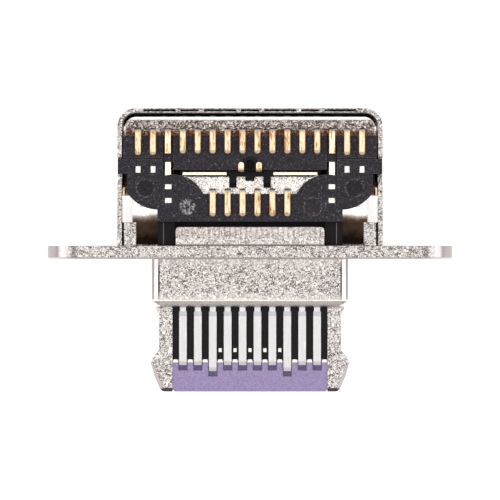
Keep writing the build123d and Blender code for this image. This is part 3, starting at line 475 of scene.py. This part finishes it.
def can_steel(settings):
    """Drawn and blasted steel of the cover can.

    Drawing left a smooth band where the floor meets the bend of its walls; its brightness is a painted
    highlight, and the darker wall behind it and the rim's dark slots are painted shade. The floor beside the
    rear block is painted brown, painted shade and reflection, and the front tab carries painted light and
    shade that run from bright through brown to nearly black. The tab is rolled smooth, with a shallow dish at
    its bend.
    """
    material, tree, place = start_material("bead_blasted_steel_with_tinted_tab")
    _, y, z, across = split_place(tree, place)
    inner = add_node(tree, "ShaderNodeMath", {"operation": "GREATER_THAN"}, {
        0: facing(tree)["Z"], 1: 0.3})
    low = add_node(tree, "ShaderNodeMath", {"operation": "LESS_THAN"}, {0: z, 1: CAN_LOW_Z})
    on_floor = add_node(tree, "ShaderNodeMath", {"operation": "MULTIPLY"}, {0: low, 1: inner})
    light = lay_over(tree, settings.steel_light, settings.can_light, on_floor)
    dark = lay_over(tree, settings.steel_dark, settings.can_dark, on_floor)
    colour, gloss, dents = steel_nodes(tree, place, settings, light, dark)

    folded = add_node(tree, "ShaderNodeCombineXYZ", inputs={"X": across, "Y": y})
    corner = add_node(tree, "ShaderNodeVectorMath", {"operation": "SUBTRACT"}, {0: folded, 1: CAN_CORNER})
    corner = add_node(tree, "ShaderNodeVectorMath", {"operation": "MAXIMUM"}, {0: corner, 1: Vector()})
    reach = add_node(tree, "ShaderNodeVectorMath", {"operation": "LENGTH"}, {0: corner})
    # Painted highlight: the smooth band round the floor is drawn bright.
    band = add_node(tree, "ShaderNodeMapRange", {"interpolation_type": "SMOOTHSTEP"}, {
        "Value": reach, "From Min": 0.18, "From Max": 0.27})
    band = add_node(tree, "ShaderNodeMath", {"operation": "MULTIPLY"}, {0: band, 1: on_floor})
    stain = add_node(tree, "ShaderNodeTexNoise", inputs={
        "Vector": place, "Scale": RAGGED_SHADE_PER_MM, "Detail": 4.0, "Roughness": 0.75})
    stain = add_node(tree, "ShaderNodeMapRange", inputs={
        "Value": stain, "From Min": 0.3, "From Max": 0.7, "To Min": -0.12, "To Max": 0.12})
    ragged = add_node(tree, "ShaderNodeMath", {"operation": "ADD"}, {0: y, 1: stain})
    # Painted shade and reflection: the floor beside the rear block is drawn brown, with ragged edges.
    brown = add_node(tree, "ShaderNodeMapRange", inputs={
        "Value": ragged, "From Min": BROWN_SHADE_Y + 0.09, "From Max": BROWN_SHADE_Y - 0.09})
    colour = lay_over(tree, colour, settings.can_floor_painted_shade, brown, on_floor, 0.85)
    colour = lay_over(tree, colour, settings.band_painted_highlight, band)

    # Painted shade on the inner face of the rear wall.
    shade = add_node(tree, "ShaderNodeMapRange", inputs={
        "Value": reach, "From Min": 0.31, "From Max": 0.37})
    inside = add_node(tree, "ShaderNodeMath", {"operation": "LESS_THAN"}, {0: reach, 1: 0.485})
    under_rim = add_node(tree, "ShaderNodeMath", {"operation": "LESS_THAN"}, {0: z, 1: RIM_Z - 0.2})
    rear_wall = add_node(tree, "ShaderNodeMapRange", inputs={
        "Value": y, "From Min": REAR_WALL_Y - 0.6, "From Max": REAR_WALL_Y - 0.4})
    colour = lay_over(tree, colour, settings.shadow_gap, shade, inside, under_rim, rear_wall, 0.35)
    # Painted shade in the rim's slots.
    below_rim = add_node(tree, "ShaderNodeMath", {"operation": "COMPARE"}, {0: z, 1: RIM_Z - 0.5, 2: 0.37})
    slot = add_node(tree, "ShaderNodeMath", {"operation": "COMPARE"}, {
        0: y, 1: REAR_WALL_Y - 0.008, 2: 0.032})
    straight = add_node(tree, "ShaderNodeMath", {"operation": "LESS_THAN"}, {0: across, 1: RIM_SLOTS_X})
    colour = lay_over(tree, colour, settings.shadow_gap, below_rim, slot, straight)

    # Painted light and shade on the tab's inner face: a highlight near its bend, then brown and nearly black
    # towards its end.
    on_tab = add_node(tree, "ShaderNodeMapRange", inputs={
        "Value": y, "From Min": TAB_REAR_Y, "From Max": TAB_REAR_Y - 0.15})
    on_tab = add_node(tree, "ShaderNodeMath", {"operation": "MULTIPLY"}, {0: on_floor, 1: on_tab})
    bright = add_node(tree, "ShaderNodeMapRange", inputs={
        "Value": ragged, "From Min": TAB_SHADE_Y, "From Max": TAB_SHADE_Y + 0.25})
    brown = add_node(tree, "ShaderNodeMapRange", inputs={
        "Value": ragged, "From Min": TAB_SHADE_Y - 0.6, "From Max": TAB_SHADE_Y + 0.05})
    tinted = lay_over(tree, settings.tab_painted_dark_shade, settings.tab_painted_brown_shade, brown)
    tinted = lay_over(tree, tinted, settings.tab_painted_highlight, bright)
    colour = lay_over(tree, colour, tinted, on_tab)
    tab_gloss = add_node(tree, "ShaderNodeMapRange", inputs={
        "Value": y, "From Min": TAB_SHADE_Y, "From Max": TAB_SHADE_Y + 0.25, "To Min": 0.5, "To Max": 0.16})
    gloss = add_node(tree, "ShaderNodeMix", inputs={"Factor": on_tab, "A": gloss, "B": tab_gloss})
    gloss = add_node(tree, "ShaderNodeMix", inputs={"Factor": band, "A": gloss, "B": 0.12})
    dish = add_node(tree, "ShaderNodeMapRange", {"interpolation_type": "SMOOTHSTEP"}, {
        "Value": y, "From Min": TAB_SHADE_Y + 0.5, "From Max": TAB_SHADE_Y, "To Max": -7.0})
    height = add_node(tree, "ShaderNodeMix", inputs={"Factor": band, "A": dents, "B": 0.5})
    height = add_node(tree, "ShaderNodeMix", inputs={"Factor": on_tab, "A": height, "B": dish})
    finish_material(tree, steel_shader(tree, colour, gloss, height))
    return material


def plate_steel(settings):
    """Blasted steel of the mid plate: as the frame's on the tongue, paler and glossier behind the flange.

    It is coined smooth where it stands up and plated on its soldered legs. Behind the flange its paler colour
    is painted light that lifts it out of the can's shade, and the slanted front ends of its ears are painted
    darker, painted shade.
    """
    material, tree, place = start_material("bead_blasted_steel_with_gold_legs")
    _, y, z, across = split_place(tree, place)
    # Painted light: behind the flange the plate and its furrows are drawn paler, to lift them out of the
    # can's shade.
    inside = add_node(tree, "ShaderNodeMath", {"operation": "GREATER_THAN"}, {0: y, 1: PLATE_INSIDE_Y})
    light = lay_over(tree, settings.steel_light, settings.pale_steel_and_painted_light, inside)
    dark = lay_over(tree, settings.steel_dark, settings.plate_painted_light_furrows, inside)
    colour, gloss, dents = steel_nodes(tree, place, settings, light, dark)

    raised = add_node(tree, "ShaderNodeMath", {"operation": "GREATER_THAN"}, {0: z, 1: PLATE_TOP_Z})
    ear = add_node(tree, "ShaderNodeMath", {"operation": "GREATER_THAN"}, {0: across, 1: EAR_INNER_X})
    tongue = add_node(tree, "ShaderNodeMath", {"operation": "LESS_THAN"}, {0: y, 1: EARS_END_Y})
    ear = add_node(tree, "ShaderNodeMath", {"operation": "MULTIPLY"}, {0: ear, 1: tongue})
    coined = add_node(tree, "ShaderNodeMath", {"operation": "SUBTRACT", "use_clamp": True}, {
        0: raised, 1: ear})
    leg = add_node(tree, "ShaderNodeMath", {"operation": "GREATER_THAN"}, {0: y, 1: LEGS_Y})
    flash = lay_over(tree, settings.pale_flash_and_painted_highlight, settings.gold, leg, 0.35)
    colour = lay_over(tree, colour, flash, coined)
    height = add_node(tree, "ShaderNodeMix", inputs={"Factor": coined, "A": dents, "B": 0.5})

    # Painted shade: the slanted front ends of the ears are drawn darker.
    slanted = add_node(tree, "ShaderNodeMapRange", inputs={
        "Value": facing(tree)["Y"], "From Min": -0.3, "From Max": -0.6})
    at_tip = add_node(tree, "ShaderNodeMath", {"operation": "LESS_THAN"}, {0: y, 1: TIP_Y + 0.25})
    colour = lay_over(tree, colour, settings.steel_painted_shade, at_tip, slanted)
    plated = add_node(tree, "ShaderNodeMapRange", inputs={
        "Value": z, "From Min": LEG_PLATING_Z, "From Max": LEG_PLATING_Z + 0.08})
    colour = lay_over(tree, colour, gold_colour(tree, place, settings), plated)
    gloss = add_node(tree, "ShaderNodeMix", inputs={"Factor": inside, "A": gloss, "B": 0.14})
    softer = add_node(tree, "ShaderNodeMapRange", inputs={
        "Value": y, "From Min": PLATE_INSIDE_Y - 0.1, "From Max": PLATE_INSIDE_Y,
        "To Min": 1.0, "To Max": 0.25})
    height = add_node(tree, "ShaderNodeMath", {"operation": "MULTIPLY"}, {0: height, 1: softer})
    finish_material(tree, steel_shader(tree, colour, gloss, height))
    return material


def gold_colour(tree, place, settings):
    """Thin gold over nickel: pale and finely streaked where it lies flat, with orange painted shade along its
    sides.

    The bends that look to the rear carry a pale painted highlight, and those that look to the front are
    painted nearly as pale.
    """
    stretch = add_node(tree, "ShaderNodeVectorMath", {"operation": "MULTIPLY"}, {
        "Vector": place, 1: Vector((1.0, 0.2, 1.0))})
    streaks = add_node(tree, "ShaderNodeTexNoise", inputs={
        "Vector": stretch, "Scale": GOLD_STREAKS_PER_MM, "Detail": 3.0, "Roughness": 0.65})
    worn = add_node(tree, "ShaderNodeMapRange", inputs={"Value": streaks, "From Min": 0.5, "From Max": 0.65})
    flat_gold = lay_over(tree, settings.gold, settings.gold_worn, worn)
    # Painted shade and highlight by facing: sides orange, bends that look to the rear pale, those that look
    # to the front nearly as pale.
    rounded = add_node(tree, "ShaderNodeBevel", {"samples": 8}, {"Radius": CONTACT_EDGE_RADIUS})
    rounded = add_node(tree, "ShaderNodeSeparateXYZ", inputs={"Vector": rounded}).outputs
    rearward = add_node(tree, "ShaderNodeMapRange", inputs={
        "Value": rounded["Y"], "From Min": 0.05, "From Max": 0.4})
    gold_painted_by_facing = lay_over(tree, settings.gold_painted_shade, settings.pale_flash_and_painted_highlight, rearward)
    frontward = add_node(tree, "ShaderNodeMapRange", inputs={
        "Value": rounded["Y"], "From Min": -0.1, "From Max": -0.35})
    gold_painted_by_facing = lay_over(tree, gold_painted_by_facing, settings.gold, frontward, 0.6)
    flat = add_node(tree, "ShaderNodeMapRange", inputs={
        "Value": rounded["Z"], "From Min": 0.84, "From Max": 0.985})
    return lay_over(tree, gold_painted_by_facing, flat_gold, flat)


def plated_contact(settings):
    """Stamped copper alloy: pale plating on the tongue, gold on the tail.

    The strip was drawn along its length, so its gloss runs in faint streaks. Behind the collar a duller band
    of painted shade crosses it, where it slopes up out of the collar, and the flat lead behind each small
    window is bright.
    """
    material, tree, place = start_material("selectively_plated_copper")
    axes = add_node(tree, "ShaderNodeSeparateXYZ", inputs={"Vector": place}).outputs
    stretch = add_node(tree, "ShaderNodeVectorMath", {"operation": "MULTIPLY"}, {
        "Vector": place, 1: Vector((1.0, 0.12, 1.0))})
    streaks = add_node(tree, "ShaderNodeTexNoise", inputs={
        "Vector": stretch, "Scale": CONTACT_STREAKS_PER_MM, "Detail": 3.0, "Roughness": 0.6})
    # Painted shade: a duller band where the strip slopes up out of the collar.
    coined = add_node(tree, "ShaderNodeMath", {"operation": "COMPARE"}, {0: axes["Y"], 1: CONTACT_SHADE_Y, 2: 0.08})
    colour = lay_over(tree, settings.silver, settings.silver_painted_shade, coined)
    lead = add_node(tree, "ShaderNodeMath", {"operation": "COMPARE"}, {0: axes["Z"], 1: LEAD_Z, 2: 0.03})
    colour = lay_over(tree, colour, settings.pale_flash_and_painted_highlight, lead)
    plated = add_node(tree, "ShaderNodeMapRange", inputs={
        "Value": axes["Z"], "From Min": TAIL_PLATING_Z, "From Max": TAIL_PLATING_Z + 0.1})
    colour = lay_over(tree, colour, gold_colour(tree, place, settings), plated)
    gloss = add_node(tree, "ShaderNodeMapRange", inputs={
        "Value": streaks, "From Min": 0.3, "From Max": 0.7, "To Min": 0.26, "To Max": 0.4})
    gloss = add_node(tree, "ShaderNodeMix", inputs={"Factor": lead, "A": gloss, "B": 0.2})
    edge = add_node(tree, "ShaderNodeBevel", {"samples": 4}, {"Radius": EDGE_RADIUS})
    bump = add_node(tree, "ShaderNodeBump", inputs={
        "Height": streaks, "Distance": STREAK_DEPTH, "Strength": 0.7, "Normal": edge})
    finish_material(tree, add_node(tree, "ShaderNodeBsdfPrincipled", inputs={
        "Base Color": colour, "Metallic": 1.0, "Roughness": gloss, "Normal": bump}))
    return material


def gilt_spring(settings):
    """Spring strip, gold plated only where it wipes along the can."""
    material, tree, place = start_material("spring_steel_with_gilt_tip")
    along = add_node(tree, "ShaderNodeSeparateXYZ", inputs={"Vector": place}).outputs["Y"]
    # Painted shade: behind its gilt tip the spring is drawn nearly black.
    tip = add_node(tree, "ShaderNodeMapRange", inputs={
        "Value": along, "From Min": SPRING_TIP_Y + 0.06, "From Max": SPRING_TIP_Y})
    colour = lay_over(tree, settings.spring_painted_shade, gold_colour(tree, place, settings), tip)
    finish_material(tree, add_node(tree, "ShaderNodeBsdfPrincipled", inputs={
        "Base Color": colour, "Metallic": 1.0, "Roughness": 0.3}))
    return material


def polymer_nodes(tree, place, settings, dark, light, share):
    """Colour and bump height of moulded polymer with short glass fibres.

    It is matt, with fine paler specks and a few pale fibres that lie bare, and the edges of faces that look
    up carry a painted highlight. A real fibre is about 0.01 mm thick, too fine to show, so the specks are
    drawn as coarse as they need to show.
    """
    grain = 1 / (settings.polymer_grain / MM)
    specks = add_node(tree, "ShaderNodeTexNoise", inputs={
        "Vector": place, "Scale": grain, "Detail": 3.0, "Roughness": 0.65})
    tone = add_node(tree, "ShaderNodeMapRange", inputs={
        "Value": specks, "From Min": share, "From Max": share + 0.2})
    colour = lay_over(tree, dark, light, tone)
    fibres = add_node(tree, "ShaderNodeTexNoise", inputs={
        "Vector": place, "Scale": grain * 0.7, "Detail": 1.0, "Roughness": 0.5})
    fibres = add_node(tree, "ShaderNodeMapRange", inputs={
        "Value": fibres, "From Min": 0.67, "From Max": 0.73, "To Max": 0.3})
    # Painted highlight: edges of faces that look up are drawn paler.
    rounded = add_node(tree, "ShaderNodeBevel", {"samples": 6}, {"Radius": HIGHLIGHT_EDGE_RADIUS})
    rounded = add_node(tree, "ShaderNodeSeparateXYZ", inputs={"Vector": rounded}).outputs["Z"]
    worn = add_node(tree, "ShaderNodeMapRange", inputs={
        "Value": rounded, "From Min": 0.98, "From Max": 0.85, "To Max": 0.35})
    level = add_node(tree, "ShaderNodeMath", {"operation": "GREATER_THAN"}, {0: facing(tree)["Z"], 1: 0.95})
    worn = add_node(tree, "ShaderNodeMath", {"operation": "MULTIPLY"}, {0: worn, 1: level})
    pale = add_node(tree, "ShaderNodeMath", {"operation": "MAXIMUM"}, {0: fibres, 1: worn})
    return lay_over(tree, colour, settings.polymer_scuff_and_painted_highlight, pale), specks


def polymer_shader(tree, colour, gloss, height):
    """Polymer surface whose moulded edges are eased and whose fibres stand out a little."""
    edge = add_node(tree, "ShaderNodeBevel", {"samples": 4}, {"Radius": EDGE_RADIUS})
    bump = add_node(tree, "ShaderNodeBump", inputs={
        "Height": height, "Distance": GRAIN_DEPTH, "Strength": 0.6, "Normal": edge})
    return add_node(tree, "ShaderNodeBsdfPrincipled", inputs={
        "Base Color": colour, "Roughness": gloss, "IOR": 1.57, "Specular IOR Level": 0.15,
        "Normal": bump})


def black_polymer(settings):
    """Black glass-filled polymer of the housings, with painted shade on its lower steps and its darkest tone
    over the boss.

    The ejector pins left four round marks: the outer two are polished, the left inner one is scuffed pale and
    the right inner one shows only its ring. A thin pale line is painted along each front corner block.
    """
    material, tree, place = start_material("glass_filled_black_polymer")
    colour, specks = polymer_nodes(tree, place, settings, settings.polymer_dark, settings.polymer_light, 0.46)
    x, y, z, across = split_place(tree, place)
    top = add_node(tree, "ShaderNodeMath", {"operation": "GREATER_THAN"}, {0: z, 1: HOUSING_STEP_Z})
    # Painted shade: faces below the top step are drawn darker.
    lower = add_node(tree, "ShaderNodeMapRange", inputs={
        "Value": z, "From Min": HOUSING_STEP_Z, "From Max": HOUSING_STEP_Z - 0.18})
    colour = lay_over(tree, colour, settings.shadow_gap, lower, 0.9)

    folded = add_node(tree, "ShaderNodeCombineXYZ", inputs={"X": across, "Y": y})
    level_place = add_node(tree, "ShaderNodeCombineXYZ", inputs={"X": x, "Y": y})
    circles = ((folded, OUTER_MARK), (level_place, LEFT_MARK), (level_place, RIGHT_MARK), (level_place, BOSS))
    from_outer, from_left, from_right, from_boss = (
        add_node(tree, "ShaderNodeVectorMath", {"operation": "DISTANCE"}, {0: start, 1: centre})
        for start, centre in circles)
    polished = add_node(tree, "ShaderNodeMapRange", inputs={
        "Value": from_outer, "From Min": MARK_RADIUS, "From Max": MARK_RADIUS - 0.04, "To Max": 0.5})
    polished = add_node(tree, "ShaderNodeMath", {"operation": "MULTIPLY"}, {0: polished, 1: top})
    colour = lay_over(tree, colour, settings.shadow_gap, polished)
    gloss = add_node(tree, "ShaderNodeMix", inputs={"Factor": polished, "A": 0.6, "B": 0.45})

    scratches = add_node(tree, "ShaderNodeTexNoise", inputs={
        "Vector": place, "Scale": SCRATCHES_PER_MM, "Detail": 4.0, "Roughness": 0.7, "Distortion": 1.0})
    pale = add_node(tree, "ShaderNodeMapRange", inputs={"Value": scratches, "From Min": 0.5, "From Max": 0.6})
    scuffed = add_node(tree, "ShaderNodeMapRange", inputs={
        "Value": from_left, "From Min": MARK_RADIUS - 0.01, "From Max": MARK_RADIUS - 0.05})
    colour = lay_over(tree, colour, settings.polymer_scuff_and_painted_highlight, scuffed, pale, top)
    nearest = add_node(tree, "ShaderNodeMath", {"operation": "MINIMUM"}, {0: from_outer, 1: from_right})
    ring = add_node(tree, "ShaderNodeMath", {"operation": "COMPARE"}, {0: nearest, 1: MARK_RADIUS, 2: 0.025})
    colour = lay_over(tree, colour, settings.polymer_scuff_and_painted_highlight, ring, pale, top, 0.35)

    # The boss is drawn in the darkest tone.
    boss = add_node(tree, "ShaderNodeMapRange", inputs={
        "Value": from_boss, "From Min": BOSS_RADIUS, "From Max": BOSS_RADIUS - 0.015})
    colour = lay_over(tree, colour, settings.shadow_gap, boss, 0.85)
    # A thin pale line is painted along each front corner block.
    ridge = add_node(tree, "ShaderNodeMath", {"operation": "COMPARE"}, {
        0: across, 1: BLOCK_LINE_X, 2: 0.014})
    length = add_node(tree, "ShaderNodeMath", {"operation": "COMPARE"}, {0: y, 1: BLOCK_LINE_Y, 2: 0.36})
    colour = lay_over(tree, colour, settings.polymer_scuff_and_painted_highlight, ridge, length, 0.35)
    finish_material(tree, polymer_shader(tree, colour, gloss, specks))
    return material


def violet_polymer(settings):
    """Violet glass-filled polymer of the nose: even and matt, with faint darker flecks."""
    material, tree, place = start_material("glass_filled_violet_polymer")
    colour, specks = polymer_nodes(tree, place, settings, settings.nose_dark, settings.nose_light, 0.38)
    finish_material(tree, polymer_shader(tree, colour, 0.55, specks))
    return material


def opal_floor(settings):
    """Matt opal sheet under the connector, faintly lit from below so that shadows on it stay weak."""
    material, tree, place = start_material("matt_opal_acrylic")
    tooth = add_node(tree, "ShaderNodeTexNoise", inputs={
        "Vector": place, "Scale": FLOOR_TOOTH_PER_MM, "Detail": 2.0})
    bump = add_node(tree, "ShaderNodeBump", inputs={
        "Height": tooth, "Distance": FLOOR_TOOTH_DEPTH, "Strength": 0.3})
    finish_material(tree, add_node(tree, "ShaderNodeBsdfPrincipled", inputs={
        "Base Color": settings.floor_colour, "Roughness": 0.9, "Normal": bump,
        "Emission Color": settings.floor_colour, "Emission Strength": settings.floor_glow}))
    return material


class CONNECTOR_OT_cover_can(bpy.types.Operator):
    """Finish the cover can"""

    bl_idname = "connector.cover_can"
    bl_label = "Cover can"

    def execute(self, context):
        set_finish(("cover_can",), can_steel(context.scene.connector_finish))
        return {"FINISHED"}


class CONNECTOR_OT_front_frame(bpy.types.Operator):
    """Finish the front frame"""

    bl_idname = "connector.front_frame"
    bl_label = "Front frame"

    def execute(self, context):
        set_finish(("front_frame",), frame_steel(context.scene.connector_finish))
        return {"FINISHED"}


class CONNECTOR_OT_mid_plate(bpy.types.Operator):
    """Finish the mid plate with its ears and ground legs"""

    bl_idname = "connector.mid_plate"
    bl_label = "Mid plate"

    def execute(self, context):
        set_finish(("mid_plate",), plate_steel(context.scene.connector_finish))
        return {"FINISHED"}


class CONNECTOR_OT_housings(bpy.types.Operator):
    """Finish the two black housings"""

    bl_idname = "connector.housings"
    bl_label = "Housings"

    def execute(self, context):
        set_finish(HOUSING_NODES, black_polymer(context.scene.connector_finish))
        return {"FINISHED"}


class CONNECTOR_OT_nose_cap(bpy.types.Operator):
    """Finish the violet nose cap"""

    bl_idname = "connector.nose_cap"
    bl_label = "Nose cap"

    def execute(self, context):
        set_finish(("nose_cap",), violet_polymer(context.scene.connector_finish))
        return {"FINISHED"}


class CONNECTOR_OT_contacts(bpy.types.Operator):
    """Finish the contacts and the side springs"""

    bl_idname = "connector.contacts"
    bl_label = "Contacts and springs"

    def execute(self, context):
        settings = context.scene.connector_finish
        set_finish(CONTACT_NODES, plated_contact(settings))
        set_finish(SPRING_NODES, gilt_spring(settings))
        return {"FINISHED"}


def add_area_light(name, place, aim, width, power):
    """Add one square soft light that points at aim."""
    light = bpy.data.lights.new(name, "AREA")
    light.size = width
    light.energy = power
    item = bpy.data.objects.new(name, light)
    item.location = place
    item.rotation_mode = "QUATERNION"
    item.rotation_quaternion = (aim - Vector(place)).to_track_quat("-Z", "Y")
    bpy.context.scene.collection.objects.link(item)


class CONNECTOR_OT_stage(bpy.types.Operator):
    """Set the floor, the lights and the camera"""

    bl_idname = "connector.stage"
    bl_label = "Stage"

    def execute(self, context):
        settings = context.scene.connector_stage
        low, high = CAD_BOX
        centre = (low + high) / 2
        floor_mesh = bpy.data.meshes.new("floor")
        corners = ((-FLOOR_HALF, -FLOOR_HALF), (FLOOR_HALF, -FLOOR_HALF), (FLOOR_HALF, FLOOR_HALF),
                   (-FLOOR_HALF, FLOOR_HALF))
        floor_mesh.from_pydata([(x, y, low.z) for x, y in corners], [], [(0, 1, 2, 3)])
        floor_mesh.materials.append(opal_floor(settings))
        floor = bpy.data.objects.new("floor", floor_mesh)
        context.scene.collection.objects.link(floor)

        world = bpy.data.worlds.new("studio")
        world.use_nodes = True
        tree = world.node_tree
        tree.nodes.clear()
        direction = add_node(tree, "ShaderNodeTexCoord").outputs["Generated"]
        height = add_node(tree, "ShaderNodeSeparateXYZ", inputs={"Vector": direction}).outputs["Z"]
        rise = add_node(tree, "ShaderNodeMapRange", {"interpolation_type": "SMOOTHSTEP"}, {
            "Value": height, "From Min": 0.25, "From Max": 0.92})
        sky = lay_over(tree, settings.low_sky, settings.high_sky, rise)
        background = add_node(tree, "ShaderNodeBackground", inputs={
            "Color": sky, "Strength": settings.sky_strength})
        add_node(tree, "ShaderNodeOutputWorld", inputs={"Surface": background})
        context.scene.world = world
        add_area_light("key_light", (0.0, 0.0, KEY_HEIGHT), centre, KEY_WIDTH, settings.key_power)
        for name, side in (("left_light", -1), ("right_light", 1)):
            place = (side * SIDE_DISTANCE, 0.0, SIDE_HEIGHT)
            add_area_light(name, place, centre, SIDE_WIDTH, settings.side_power)

        lens = bpy.data.cameras.new("camera")
        lens.sensor_width = 36.0
        lens.lens = lens.sensor_width * settings.camera_distance / settings.frame_width
        lens.clip_start = 0.005
        lens.clip_end = 5.0
        camera = bpy.data.objects.new("camera", lens)
        tilt = settings.camera_tilt
        camera.location = centre + settings.camera_distance * Vector((0.0, -math.sin(tilt), math.cos(tilt)))
        camera.rotation_euler = (tilt, 0.0, 0.0)
        context.scene.collection.objects.link(camera)
        context.scene.camera = camera
        context.scene.view_settings.view_transform = "Standard"
        return {"FINISHED"}


class CONNECTOR_PT_panel(bpy.types.Panel):
    """The connector's pieces and stage"""

    bl_label = "Charging port connector"
    bl_idname = "CONNECTOR_PT_panel"
    bl_space_type = "VIEW_3D"
    bl_region_type = "UI"
    bl_category = "Connector"

    def draw(self, context):
        for operator in OPERATORS:
            self.layout.operator(operator.bl_idname)
        for group in (context.scene.connector_finish, context.scene.connector_stage):
            for name in group.__annotations__:
                self.layout.prop(group, name)


OPERATORS = (
    CONNECTOR_OT_cover_can,
    CONNECTOR_OT_front_frame,
    CONNECTOR_OT_mid_plate,
    CONNECTOR_OT_housings,
    CONNECTOR_OT_nose_cap,
    CONNECTOR_OT_contacts,
    CONNECTOR_OT_stage,
)
CLASSES = (FinishSettings, StageSettings, *OPERATORS, CONNECTOR_PT_panel)


def register():
    for item in CLASSES:
        bpy.utils.register_class(item)
    bpy.types.Scene.connector_finish = PointerProperty(type=FinishSettings)
    bpy.types.Scene.connector_stage = PointerProperty(type=StageSettings)


def unregister():
    del bpy.types.Scene.connector_stage
    del bpy.types.Scene.connector_finish
    for item in reversed(CLASSES):
        bpy.utils.unregister_class(item)


def main():
    register()
    for operator in OPERATORS:
        group, name = operator.bl_idname.split(".")
        getattr(getattr(bpy.ops, group), name)()


if __name__ == "__main__":
    main()
